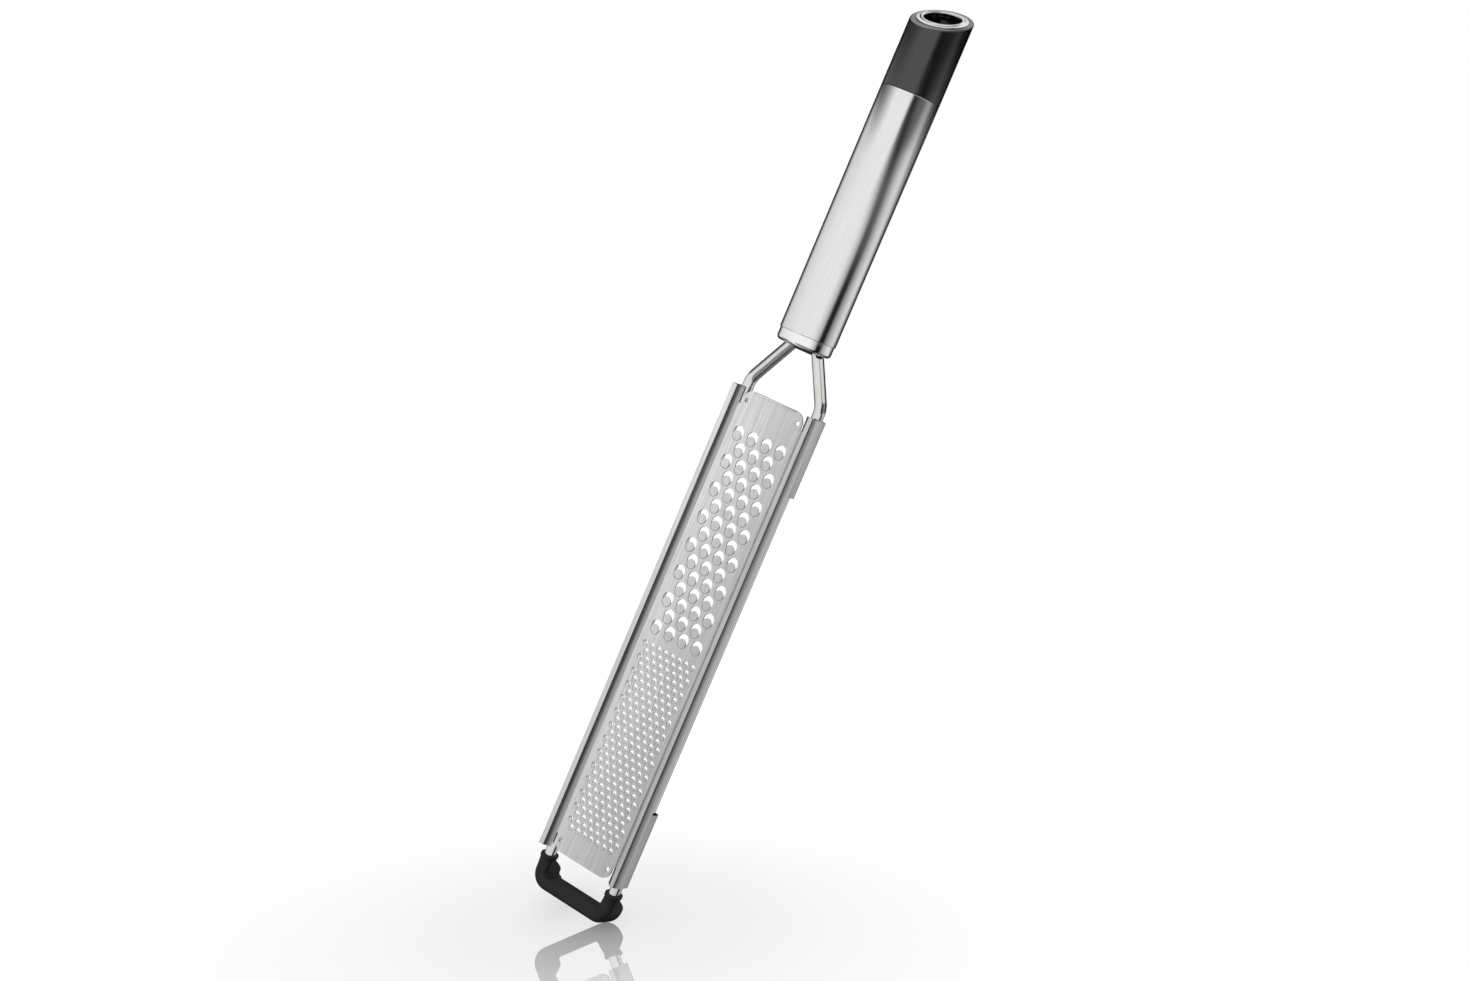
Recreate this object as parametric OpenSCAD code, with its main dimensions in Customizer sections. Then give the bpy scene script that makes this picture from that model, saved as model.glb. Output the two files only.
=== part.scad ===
// Hand grater: a long blade on a bent rod, with a round steel handle.
// X runs along the grater from the hanging end to the foot, Y across it,
// and +Z is up, out of the cutting face. Sizes are in millimetres.
// The origin is at the middle of the length and width, at the lowest point of the handle.

/* [Blade] */
// Length of the blade
blade_l = 203.5; // [180:0.5:230]
// Thickness of the blade's sheet
sheet_t = 0.6; // [0.5:0.1:0.8]
// Height of the cutting face above the middle of the rod
face_rise = 4.5; // [4:0.1:5.5]
// Height of the rails' crest above the cutting face
crest_h = 2; // [1.8:0.1:3]
// Outer bend radius of the crest
crest_r = 1.5; // [1.2:0.1:1.8]
// Slope of the wall that rises from the cutting face to the crest
wall_slope = 45; // [40:1:60]
// Length of each end tab that wraps round the rod
tab_l = 32.5; // [20:0.5:45]
// How far the tabs go round the rod, from level with its middle
tab_wrap = 150; // [110:5:170]
// Step between the tabs and the plain stretch of the rail
tab_step = 1; // [0.6:0.1:1.4]
// Length of the slit that parts the cutting face from the rails at each end
slit_l = 6.5; // [5:0.5:9]
// Width of that slit
slit_w = 0.6; // [0.4:0.1:0.8]
// Corner radius of the cutting face
corner_r = 4.5; // [3:0.5:6]
// Outer radius of the lip turned down at the handle end
lip_r = 1.2; // [0.9:0.1:1.5]
// Diameter of the four corner holes
corner_hole_d = 2; // [1:0.1:3]
// Distance of the corner holes from the blade's ends
corner_hole_x = 4.4; // [3:0.1:6]
// Distance of the corner holes from the middle line
corner_hole_y = 12.6; // [10:0.1:13]

/* [Coarse teeth] */
// Number of coarse rows
coarse_rows = 15; // [5:1:15]
// Teeth in the longer coarse rows
coarse_n = 4; // [2:1:4]
// Spacing of the coarse teeth
coarse_pitch = 7; // [6.5:0.1:7.4]
// Distance of the first coarse row from the blade's end
coarse_start = 17.2; // [12:0.1:20]
// Radius of a coarse tooth's mouth
coarse_mouth_r = 2.5; // [2:0.05:2.8]
// Radius of a coarse tooth's tongue
coarse_tongue_r = 1.95; // [1.5:0.05:2.1]
// Distance from the mouth's middle to the tongue's middle
coarse_shift = 1.5; // [1:0.05:1.6]

/* [Fine teeth] */
// Plain stretch that is left at the foot end, at the least
fine_end = 10.5; // [9:0.5:16]
// Teeth in the longer fine rows
fine_n = 8; // [4:1:8]
// Spacing of the fine teeth
fine_pitch = 3.5; // [3.3:0.05:3.6]
// Gap between the last coarse row and the first fine row
field_gap = 8.1; // [6:0.1:10]
// Radius of a fine tooth's mouth
fine_mouth_r = 1.1; // [0.9:0.05:1.2]
// Radius of a fine tooth's tongue
fine_tongue_r = 0.85; // [0.7:0.05:0.9]
// Distance from the mouth's middle to the tongue's middle
fine_shift = 0.65; // [0.5:0.05:0.7]

/* [Teeth] */
// Slope of the tongues above the cutting face
tongue_slope = 7; // [5:0.5:16]

/* [Rod] */
// Diameter of the rod
rod_d = 4.9; // [4.5:0.1:5.2]
// Distance between the middles of the legs along the blade
rod_gap = 34.8; // [33:0.1:38]
// Distance between the middles of the legs inside the handle
rod_neck = 10; // [9:0.1:11]
// Angle at which the legs splay below the ferrule
splay = 30; // [25:1:35]
// Bend radius at the ferrule, along the middle of the rod
neck_bend_r = 5; // [4.5:0.5:8]
// Bend radius above the blade, along the middle of the rod
shoulder_bend_r = 10; // [6:0.5:12]
// Bend radius at the foot, along the middle of the rod
foot_bend_r = 4.6; // [4.4:0.1:6]
// Clear distance from the shoulder's corner to the blade
shoulder_gap = 4.3; // [3.4:0.1:8]
// Length of the rod's ends inside the handle
rod_grip = 42; // [25:1:60]

/* [Handle] */
// Distance from the ferrule to the blade
neck_l = 23.3; // [20:0.1:30]
// Height of the handle's middle above the rod's middle
handle_rise = 1.6; // [0:0.1:3]
// Length of the tube
tube_l = 102.2; // [80:0.2:130]
// Diameter of the tube at the cap
tube_cap_d = 24.4; // [22.6:0.1:26]
// Diameter of the tube at the ferrule
tube_neck_d = 23.8; // [22.6:0.1:26]
// Wall of the tube
tube_wall = 0.8; // [0.6:0.1:1]
// Edge break at the tube's ends
edge = 0.3; // [0.1:0.1:0.4]

/* [Ferrule] */
// Length of the ferrule that shows
ferrule_l = 4.9; // [4:0.1:8]
// Step in radius from the tube down to the ferrule
ferrule_step = 0.4; // [0.2:0.1:0.5]
// Radius of its rounded lower edge
ferrule_edge = 1.6; // [0.8:0.1:2]
// Length of its spigot inside the tube
ferrule_spigot = 6; // [4:0.5:10]
// Wall of the ferrule
ferrule_wall = 0.7; // [0.5:0.1:0.8]

/* [Anchor] */
// Length of the plastic core above the ferrule's floor
anchor_l = 48; // [46:1:66]
// Width of its boss between the legs
boss_w = 8.7; // [6:0.1:9]
// Height by which the boss stands out of the ferrule
boss_h = 1; // [0.5:0.1:2]

/* [Cap] */
// Length of the cap along the handle's middle
cap_l = 31.6; // [28:0.1:40]
// Slant of the end face
face_tilt = 29; // [25:1:32]
// Rounding of the end face's rim
rim_r = 0.8; // [0.4:0.1:1.2]
// Length of the spigot inside the tube
cap_spigot = 12; // [8:0.5:20]

/* [Hanging hole] */
// Radius of the hole in the ring
eyelet_r = 7.4; // [6.8:0.1:7.8]
// Wall of the ring's sleeve
eyelet_wall = 0.7; // [0.5:0.1:0.8]
// Depth of the ring's sleeve in the cap
eyelet_depth = 5; // [4:0.5:6]
// Outer radius of the ring's flange
flange_r = 10.6; // [10:0.1:11]
// Height of the flange above the end face
flange_h = 0.9; // [0.6:0.1:1.2]
// Radius of the hole behind the ring
throat_r = 7; // [5.5:0.1:7]
// Angle from the handle's length at which the hole goes out at the back
throat_tilt = 55; // [50:1:60]

/* [Foot] */
// Distance from the blade to the middle of the rod at the foot
foot_drop = 15.5; // [14.5:0.1:25]
// Thickness of the foot's section, across the rod
foot_t = 6; // [5.8:0.1:8]
// Depth of the foot's bar, square to the cutting face
foot_depth = 10; // [9:0.1:12]
// Depth of the foot's legs, level with the bar on the cutting side
foot_leg_depth = 12; // [10:0.1:14]
// How far the bar's middle lies below the rod's middle
foot_sink = 1.8; // [1:0.1:2]
// Rounding of the section's inner edges
foot_inner_r = 1.2; // [0.3:0.1:1.6]
// Rounding of the section's outer edges
foot_outer_r = 2.9; // [1.5:0.1:2.9]
// How much tighter the foot bends than the rod inside it
foot_tuck = 0.4; // [0:0.1:0.5]
// Length of the full section between the bend and the shoulder
foot_run = 0.8; // [0.5:0.1:6]
// Diameter of the collars round the legs
collar_d = 7.4; // [7:0.1:8]
// Length of the collars
collar_l = 1.4; // [1:0.1:2]
// Slant of the collars, from square across the leg
collar_slant = 10; // [0:1:20]
// Diameter of the waist below each collar
waist_d = 6.6; // [6.2:0.1:6.8]
// Length of the shoulder between the waist and the full section
waist_l = 5; // [4:0.1:6]

/* [Hidden] */

$fn = 96;
rim_facets = 64;
blend_facets = 32;
fit = 0.05;
over = 0.01;
// Pieces that meet end to end overlap a little, one of them a hair thinner
hair = 0.01;
lap = 0.05;
past = 20;

rod_r = rod_d / 2;
leg_y = rod_gap / 2;
neck_y = rod_neck / 2;
tube_cap_r = tube_cap_d / 2;
tube_neck_r = tube_neck_d / 2;

// Stations along X, counted from the blade's end nearest the handle
ferrule_x = -neck_l;
tube_neck_x = ferrule_x - ferrule_l;
tube_cap_x = tube_neck_x - tube_l;
face_x = tube_cap_x - cap_l;
tip_x = face_x - tube_cap_r * tan(face_tilt) + rim_r * sin(face_tilt);
foot_mid_x = blade_l + foot_drop;
foot_end_x = foot_mid_x + foot_t / 2;
foot_turn_r = foot_bend_r - foot_tuck;
foot_top_z = foot_depth / 2 - foot_sink;
foot_full_x = foot_mid_x - foot_turn_r - foot_run;
collar_x = foot_full_x - waist_l - collar_l;

// The origin is under the middle of the whole grater, at the handle's lowest point
shift_x = -(tip_x + foot_end_x) / 2;
rod_z = max(tube_cap_r, tube_neck_r) - handle_rise;
handle_z = rod_z + handle_rise;

// Corners of the rod's bends, before rounding
shoulder_x = -shoulder_gap;
neck_x = shoulder_x - (leg_y - neck_y) / tan(splay);
rod_end_x = neck_x - rod_grip;

// Section of the rails, with heights counted from the middle of the rod
tab_in = rod_r + fit;
tab_out = tab_in + sheet_t;
tab_y = leg_y + tab_out;
rail_y = tab_y - tab_step;
crest_y = rail_y - crest_r;
crest_z = face_rise + crest_h - crest_r;
crest_turn = 180 - wall_slope;
wall_y = crest_y - crest_r * sin(wall_slope);
wall_z = crest_z + crest_r * cos(wall_slope);
face_y = wall_y - (wall_z - face_rise) / tan(wall_slope);
end_y = face_y - slit_w;
flange_z = rod_r + 0.3;

// Bores of the tube, by its wall at each end
bore_cap_r = tube_cap_r - tube_wall;
bore_neck_r = tube_neck_r - tube_wall;
spigot_r = min(bore_cap_r, bore_neck_r) - fit;
ferrule_r = tube_neck_r - ferrule_step;
cup_r = spigot_r - ferrule_wall;
floor_t = ferrule_wall;

module along_x() {
    rotate([0, 90, 0]) children();
}

// Places a piece that is drawn by its stations into the part's frame
module at_rod() {
    translate([shift_x, 0, rod_z]) children();
}

module at_handle() {
    translate([shift_x, 0, handle_z]) children();
}

module both_sides() {
    children();
    mirror([0, 1, 0]) children();
}

// A ring's sector between two radii, from one angle to another, at most 180 degrees apart
module arc_strip(r_in, r_out, from, to) {
    far = 4 * r_out;
    mid = (from + to) / 2;
    intersection() {
        difference() {
            circle(r_out);
            circle(r_in);
        }
        polygon([
            [0, 0],
            [far * cos(from), far * sin(from)],
            [far * cos(mid), far * sin(mid)],
            [far * cos(to), far * sin(to)]
        ]);
    }
}

// Rod

module leg(r) {
    neck_t = neck_bend_r * tan(splay / 2);
    shoulder_t = shoulder_bend_r * tan(splay / 2);
    slant_l = (leg_y - neck_y) / sin(splay) - neck_t - shoulder_t;
    bend = r - hair;

    translate([rod_end_x, neck_y, 0])
        along_x() cylinder(r = r, h = rod_grip - neck_t + hair);

    translate([neck_x - neck_t, neck_y + neck_bend_r, 0])
        rotate([0, 0, -90])
            rotate_extrude(angle = splay)
                translate([neck_bend_r, 0]) circle(bend);

    translate([neck_x + neck_t * cos(splay), neck_y + neck_t * sin(splay), 0])
        rotate([0, 0, splay])
            translate([-hair, 0, 0])
                along_x() cylinder(r = r, h = slant_l + 2 * hair);

    translate([shoulder_x + shoulder_t, leg_y - shoulder_bend_r, 0])
        rotate([0, 0, 90])
            rotate_extrude(angle = splay)
                translate([shoulder_bend_r, 0]) circle(bend);

    translate([shoulder_x + shoulder_t - hair, leg_y, 0])
        along_x() cylinder(r = r, h = foot_mid_x - foot_bend_r - shoulder_x - shoulder_t + 2 * hair);

    translate([foot_mid_x - foot_bend_r, leg_y - foot_bend_r, 0])
        rotate_extrude(angle = 90)
            translate([foot_bend_r, 0]) circle(bend);
}

module rod(r) {
    both_sides() leg(r);
    translate([foot_mid_x, foot_bend_r - leg_y - hair, 0])
        rotate([-90, 0, 0])
            cylinder(r = r, h = 2 * (leg_y - foot_bend_r + hair));
}

module frame_wire() {
    color("silver") at_rod() rod(rod_r);
}

// Blade

// The rail's section without its wall: y to the right, z up
module crest_section() {
    translate([crest_y, crest_z]) arc_strip(crest_r - sheet_t, crest_r, 0, crest_turn);
    translate([rail_y - sheet_t, flange_z]) square([sheet_t, crest_z - flange_z]);
}

module tab_section() {
    crest_top = crest_z + crest_r;
    translate([crest_y, crest_z]) arc_strip(crest_r - sheet_t, crest_r, 90, crest_turn);
    translate([crest_y, crest_top - sheet_t]) square([tab_step, sheet_t]);
    translate([crest_y + tab_step, crest_z]) arc_strip(crest_r - sheet_t, crest_r, 0, 90);
    translate([tab_y - sheet_t, 0]) square([sheet_t, crest_z]);
    translate([leg_y, 0]) arc_strip(tab_in, tab_out, -tab_wrap, 0);
}

// A point of the wall: along its slope past the crest's lower end, and deep below its surface
function wall_point(along, deep) = [
    wall_y + along * cos(wall_slope) + deep * sin(wall_slope),
    wall_z + along * sin(wall_slope) - deep * cos(wall_slope)
];

// The sloping wall from the cutting face up into the crest
module wall_section() {
    mitre = sheet_t * tan(wall_slope / 2);
    polygon([
        [face_y, face_rise],
        wall_point(lap, hair),
        wall_point(lap, sheet_t - hair),
        [face_y + mitre, face_rise - sheet_t]
    ]);
}

// The strip of the cutting face that the wall grows out of
module fold_section() {
    mitre = sheet_t * tan(wall_slope / 2);
    polygon([
        [face_y - sheet_t, face_rise],
        [face_y, face_rise],
        wall_point(0, hair),
        wall_point(0, sheet_t - hair),
        [face_y + mitre, face_rise - sheet_t],
        [face_y - sheet_t, face_rise - sheet_t]
    ]);
}

module rail_run(from, length) {
    translate([from, 0, 0])
        rotate([90, 0, 90])
            linear_extrude(length) children();
}

module rail() {
    plain_l = blade_l - 2 * tab_l;
    rail_run(tab_l, plain_l) {
        crest_section();
        wall_section();
        fold_section();
    }
    for (end = [0, 1])
        translate([end * blade_l, 0, 0])
            mirror([end, 0, 0]) {
                rail_run(0, slit_l) {
                    tab_section();
                    wall_section();
                }
                rail_run(slit_l, tab_l - slit_l) {
                    tab_section();
                    wall_section();
                    fold_section();
                }
            }
}

// Runs its children at every tooth of a field of offset rows
module field(rows, n, pitch, start) {
    for (row = [0 : rows - 1]) {
        count = n - row % 2;
        for (i = [0 : count - 1])
            translate([start + row * row_step(pitch), (i - (count - 1) / 2) * pitch]) children();
    }
}

// Distance between neighbouring rows whose teeth stand in equal triangles
function row_step(pitch) = pitch * sin(60);

module coarse_field() {
    field(coarse_rows, coarse_n, coarse_pitch, coarse_start) children();
}

module fine_field() {
    start = coarse_start + (coarse_rows - 1) * row_step(coarse_pitch) + field_gap;
    rows = floor((blade_l - fine_end - start) / row_step(fine_pitch)) + 1;
    field(rows, fine_n, fine_pitch, start) children();
}

// The tongue is a round flap whose free edge, towards the handle, rises out of the face
module tongue(tongue_r, shift, thick) {
    root = shift + tongue_r;
    translate([root, 0, face_rise])
        rotate([0, tongue_slope, 0])
            translate([-tongue_r, 0, -thick]) cylinder(r = tongue_r, h = thick, $fn = 48);
}

module corner_cut() {
    difference() {
        square(corner_r);
        translate([corner_r, corner_r]) circle(corner_r);
    }
}

module face_outline() {
    difference() {
        union() {
            translate([0, -end_y]) square([blade_l, 2 * end_y]);
            translate([slit_l, -face_y]) square([blade_l - 2 * slit_l, 2 * face_y]);
        }
        for (side = [0, 1], end = [0, 1])
            translate([end * blade_l, 0])
                mirror([end, 0])
                    mirror([0, side])
                        translate([0, -end_y]) corner_cut();
        translate([-over, corner_r - end_y]) square([lip_r + over, 2 * (end_y - corner_r)]);
    }
}

module face_sheet() {
    translate([0, 0, face_rise - sheet_t])
        linear_extrude(sheet_t)
            difference() {
                face_outline();
                coarse_field() circle(coarse_mouth_r);
                fine_field() circle(fine_mouth_r);
                for (x = [corner_hole_x, blade_l - corner_hole_x], side = [-1, 1])
                    translate([x, side * corner_hole_y]) circle(corner_hole_d / 2);
            }
}

module end_lip() {
    translate([lip_r, end_y - corner_r, face_rise - lip_r])
        rotate([90, 0, 0])
            linear_extrude(2 * (end_y - corner_r))
                arc_strip(lip_r - sheet_t, lip_r, 90, 180);
}

module blade() {
    color("gainsboro") at_rod() {
        face_sheet();
        end_lip();
        both_sides() rail();
        coarse_field() tongue(coarse_tongue_r, coarse_shift, sheet_t);
        fine_field() tongue(fine_tongue_r, fine_shift, sheet_t / 2);
    }
}

// Handle

module handle_tube() {
    color("lightgray") at_handle()
        translate([tube_cap_x, 0, 0])
            along_x()
                rotate_extrude()
                    polygon([
                        [bore_cap_r, 0],
                        [tube_cap_r - edge, 0],
                        [tube_cap_r, edge],
                        [tube_neck_r, tube_l - edge],
                        [tube_neck_r - edge, tube_l],
                        [bore_neck_r, tube_l]
                    ]);
}

// Slot in the ferrule's floor that the legs and the boss pass through
module neck_slot(half_w, half_h) {
    square([2 * (half_w - half_h), 2 * half_h], center = true);
    for (side = [-1, 1])
        translate([side * (half_w - half_h), 0]) circle(half_h);
}

module ferrule() {
    slot_y = neck_y + (ferrule_x - neck_x) * tan(splay) + rod_r / cos(splay) + 2 * fit;
    slot_h = rod_r + 2 * fit;
    color("white") at_handle() difference() {
        union() {
            translate([tube_neck_x - ferrule_spigot, 0, 0])
                along_x() cylinder(r = spigot_r, h = ferrule_spigot + over);
            translate([tube_neck_x, 0, 0])
                along_x() rotate_extrude() {
                    square([ferrule_r - ferrule_edge, ferrule_l]);
                    square([ferrule_r, ferrule_l - ferrule_edge]);
                    translate([ferrule_r - ferrule_edge, ferrule_l - ferrule_edge])
                        circle(ferrule_edge);
                }
        }
        translate([tube_neck_x - ferrule_spigot - over, 0, 0])
            along_x() cylinder(r = cup_r, h = ferrule_spigot + ferrule_l - floor_t + over);
        translate([ferrule_x - past, 0, -handle_rise])
            rotate([90, 0, 90]) linear_extrude(2 * past) neck_slot(slot_y, slot_h);
    }
}

module wire_anchor() {
    floor_x = ferrule_x - floor_t;
    lip_x = tube_neck_x - ferrule_spigot;
    color("dimgray") difference() {
        at_handle() {
            translate([lip_x, 0, 0])
                along_x() cylinder(r = cup_r - fit, h = floor_x - lip_x);
            translate([floor_x - anchor_l, 0, 0])
                along_x() cylinder(r = spigot_r - fit, h = lip_x - floor_x + anchor_l);
            translate([floor_x - over, 0, -handle_rise])
                rotate([90, 0, 90]) linear_extrude(floor_t + boss_h + over)
                    neck_slot(boss_w / 2, rod_r);
        }
        at_rod() rod(rod_r + fit);
    }
}

// Cap and hanging hole

// A frame at the middle of the slanted face, with +Z straight out of it
module at_face() {
    at_handle() translate([face_x, 0, 0]) rotate([0, face_tilt - 90, 0]) children();
}

// A thin slice of the cap, parallel to its face and a depth below it, drawn in by inset
module cap_slice(depth, inset) {
    long_r = tube_cap_r / cos(face_tilt) - inset;
    short_r = tube_cap_r - inset;
    translate([0, 0, -depth])
        linear_extrude(over)
            scale([long_r, short_r]) circle(1, $fn = rim_facets);
}

module cap_body() {
    hull() {
        at_handle() translate([tube_cap_x - over, 0, 0])
            along_x() cylinder(r = tube_cap_r, h = over, $fn = rim_facets);
        at_face() translate([rim_r * tan(face_tilt), 0, 0]) cap_slice(rim_r + over, 0);
        at_face() cap_slice(over, rim_r);
    }
}

module throat() {
    turn_x = face_x + eyelet_depth * cos(face_tilt);
    turn_z = -eyelet_depth * sin(face_tilt);
    at_handle() translate([turn_x, 0, turn_z]) {
        sphere(throat_r);
        rotate([0, 90 + throat_tilt, 0]) cylinder(r = throat_r, h = 2 * past);
    }
}

module end_cap() {
    color("darkslategray") difference() {
        union() {
            cap_body();
            at_handle() translate([tube_cap_x - over, 0, 0])
                along_x() cylinder(r = spigot_r - fit, h = cap_spigot + over);
        }
        at_face() translate([0, 0, -eyelet_depth])
            cylinder(r = eyelet_r + eyelet_wall + fit, h = eyelet_depth + past);
        throat();
    }
}

// The ring is a sleeve with a rounded flange that lies on the cap's face
module eyelet_ring() {
    sleeve_r = eyelet_r + eyelet_wall;
    round_r = flange_h / 2;
    color("whitesmoke") at_face() {
        translate([0, 0, -eyelet_depth]) difference() {
            cylinder(r = sleeve_r, h = eyelet_depth + flange_h / 2);
            translate([0, 0, -over]) cylinder(r = eyelet_r, h = eyelet_depth + flange_h);
        }
        rotate_extrude() {
            translate([eyelet_r + round_r, 0])
                square([flange_r - eyelet_r - 2 * round_r, flange_h]);
            translate([eyelet_r + round_r, round_r]) circle(round_r, $fn = 32);
            translate([flange_r - round_r, round_r]) circle(round_r, $fn = 32);
        }
    }
}

// Foot

// Sharper edges towards the opening, rounder ones outwards
module foot_section(depth) {
    half_t = foot_t / 2;
    half_d = depth / 2;
    translate([0, foot_top_z - half_d]) {
        translate([foot_inner_r - half_t, -half_d])
            square([foot_t - foot_inner_r - foot_outer_r, depth]);
        translate([-half_t, foot_inner_r - half_d])
            square([half_t, depth - 2 * foot_inner_r]);
        translate([0, foot_outer_r - half_d])
            square([half_t, depth - 2 * foot_outer_r]);
        for (side = [-1, 1]) {
            translate([foot_inner_r - half_t, side * (half_d - foot_inner_r)])
                circle(foot_inner_r);
            translate([half_t - foot_outer_r, side * (half_d - foot_outer_r)])
                circle(foot_outer_r);
        }
    }
}

// A slanted slice of a round leg, its ends parallel to the collar's
module slanted_slice(d, length) {
    reach = d / 2 * tan(collar_slant) + length;
    intersection() {
        translate([-reach, 0, 0]) along_x() cylinder(d = d, h = 2 * reach);
        rotate([0, collar_slant, 0])
            translate([0, -past / 2, -past / 2])
                cube([length * cos(collar_slant), past, past]);
    }
}

module foot_leg() {
    translate([0, leg_y, 0]) {
        translate([collar_x, 0, 0]) slanted_slice(collar_d, collar_l);
        hull() {
            translate([collar_x + collar_l / 2, 0, 0])
                slanted_slice(waist_d, collar_l, $fn = blend_facets);
            translate([foot_full_x, 0, 0]) rotate([90, 0, 90]) linear_extrude(over)
                foot_section(foot_leg_depth, $fn = blend_facets);
        }
        translate([foot_full_x, 0, 0])
            rotate([90, 0, 90]) linear_extrude(foot_run) foot_section(foot_leg_depth);
    }
    translate([foot_mid_x - foot_turn_r, leg_y - foot_turn_r, 0])
        rotate_extrude(angle = 90)
            translate([foot_turn_r, 0]) foot_section(foot_leg_depth);
}

module foot() {
    color("black") at_rod() difference() {
        union() {
            both_sides() foot_leg();
            translate([foot_mid_x, leg_y - foot_turn_r, 0])
                rotate([90, 0, 0])
                    linear_extrude(2 * (leg_y - foot_turn_r)) foot_section(foot_depth);
        }
        rod(rod_r + fit);
    }
}

handle_tube();
end_cap();
eyelet_ring();
ferrule();
wire_anchor();
frame_wire();
blade();
foot();
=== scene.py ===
"""Looks of a hand grater: meshes with rounded edges, steel, plastic and rubber, a pale floor and soft light.

Lengths are in millimetres until a mesh is made, and angles in degrees. X runs along the grater
from its hanging end to its foot, Y across it, and +Z is up, out of the cutting face.
"""

import math

import bmesh
import bpy
from mathutils import Matrix, Vector
from mathutils.geometry import delaunay_2d_cdt

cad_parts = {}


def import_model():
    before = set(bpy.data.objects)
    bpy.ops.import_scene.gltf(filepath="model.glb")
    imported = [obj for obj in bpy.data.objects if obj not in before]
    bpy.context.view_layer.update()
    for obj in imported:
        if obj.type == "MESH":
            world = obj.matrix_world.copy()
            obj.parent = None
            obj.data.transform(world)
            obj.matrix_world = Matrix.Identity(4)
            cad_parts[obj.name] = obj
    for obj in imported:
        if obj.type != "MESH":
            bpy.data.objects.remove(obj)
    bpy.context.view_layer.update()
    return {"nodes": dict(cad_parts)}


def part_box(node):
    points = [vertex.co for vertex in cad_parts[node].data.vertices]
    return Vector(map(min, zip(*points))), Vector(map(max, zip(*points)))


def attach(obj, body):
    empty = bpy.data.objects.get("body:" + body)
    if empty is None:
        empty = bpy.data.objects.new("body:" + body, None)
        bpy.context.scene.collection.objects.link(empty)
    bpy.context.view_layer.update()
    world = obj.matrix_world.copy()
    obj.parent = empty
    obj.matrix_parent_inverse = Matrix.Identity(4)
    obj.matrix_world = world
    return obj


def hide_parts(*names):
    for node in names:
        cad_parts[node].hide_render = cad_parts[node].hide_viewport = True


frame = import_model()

MM = 0.001

# Sizes of the part, as in its source

# Blade
BLADE_L = 203.5
SHEET_T = 0.6
TAB_L = 32.5
SLIT_L = 6.5
SLIT_W = 0.6
CORNER_R = 4.5
LIP_R = 1.2
CORNER_HOLE_R = 1
CORNER_HOLE_X = 4.4
CORNER_HOLE_Y = 12.6
# The two kinds of teeth. shift is how far the tongue's middle lies from the mouth's, flank is the width of the
# slope round the tongue, edge_t is the thickness of the cutting edge, and steps says how fine the mesh is
COARSE = dict(rows=15, n=4, pitch=7, mouth_r=2.5, tongue_r=1.95, shift=1.5, flank=0.31, edge_t=0.25, steps=20)
FINE = dict(rows=28, n=8, pitch=3.5, mouth_r=1.1, tongue_r=0.85, shift=0.65, flank=0.15, edge_t=0.15, steps=14)
COARSE_START = 17.2
FIELD_GAP = 8.1
TONGUE_SLOPE = 7
FACE_RISE = 4.5

# Rod
ROD_R = 2.45
LEG_Y = 17.4
NECK_Y = 5
SPLAY = 30
NECK_BEND_R = 5
SHOULDER_BEND_R = 10
FOOT_BEND_R = 4.6
SHOULDER_GAP = 4.3
ROD_GRIP = 42

# Handle
NECK_L = 23.3
TUBE_L = 102.2
TUBE_CAP_R = 12.2
TUBE_NECK_R = 11.9
TUBE_WALL = 0.8
FERRULE_L = 4.9
FERRULE_STEP = 0.4
FERRULE_EDGE = 1.6
FERRULE_SPIGOT = 6
FERRULE_WALL = 0.7
CAP_L = 31.6
FACE_TILT = 29
RIM_R = 0.8
CAP_SPIGOT = 12
EYELET_R = 7.4
EYELET_WALL = 0.7
EYELET_DEPTH = 5
FLANGE_H = 0.9
THROAT_R = 7
THROAT_TILT = 55

# Foot
FOOT_DROP = 15.5
FOOT_T = 6
FOOT_DEPTH = 10
FOOT_LEG_DEPTH = 12
FOOT_SINK = 1.8
FOOT_INNER_R = 1.2
FOOT_OUTER_R = 2.9
FOOT_TURN_R = 4.2
FOOT_RUN = 0.8
COLLAR_R = 3.7
COLLAR_L = 1.4
COLLAR_SLANT = 10
WAIST_R = 3.3
WAIST_L = 5

# Room between pieces that fit into each other
FIT = 0.05

# Sizes that only the meshes have

TUBE_EDGE_R = 0.3
TUBE_BORE_EDGE_R = 0.1
CAP_EDGE = 0.2
# The ring: a thin flange, and round its mouth a lip that rises from it
FLANGE_R = 10.5
FLANGE_EDGE = 0.45
FLANGE_FOOT_R = 0.05
FLANGE_RIM_R = 0.25
RING_LIP_R = 9
RING_LIP_RUN = 0.45
RING_LIP_EDGE_R = 0.3
RING_MOUTH_R = 0.65
RING_END_R = 0.2
# The collar's rounded edges, as (distance from its end, distance below its radius)
COLLAR_FRONT = ((0, 0.25), (0.08, 0.08), (0.25, 0))
COLLAR_BACK = ((0.3, 0.02), (0.1, 0.1))
COLLAR_BORE = 3
COLLAR_GAP = 0.6
# How far the foot's side takes to become as flat as its middle
FOOT_EASE = 1.5

# How fine the meshes are: steps along a bend or a run, and points round
FLANK_STEPS = 5
TONGUE_RINGS = (1, 0.85, 0.5)
CORNER_HOLE_STEP = 15
EDGE_STEPS = 5
BEND_STEPS = 8
FOOT_BEND_STEPS = 16
ROD_SIDES = 40
THROAT_STEPS = 24
WAIST_STEPS = 14
FOOT_TURN_STEPS = 18
FOOT_EASE_STEPS = 6
ROUND = 96

# The throat's round bottom starts this many degrees from its pole, and the lower edge of the plain rail turns
# by so many
THROAT_START = 3
EDGE_TURN = 80

# A flat strip this wide keeps the shading of a flat face flat beside a bend. On the slanted face it is a share
# of the way to the middle
GUARD = 0.04
FACE_GUARD = 0.005

# Points closer than this are one, in a mesh and in a flat outline
MERGE = 0.002
WELD = 1e-5

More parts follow.
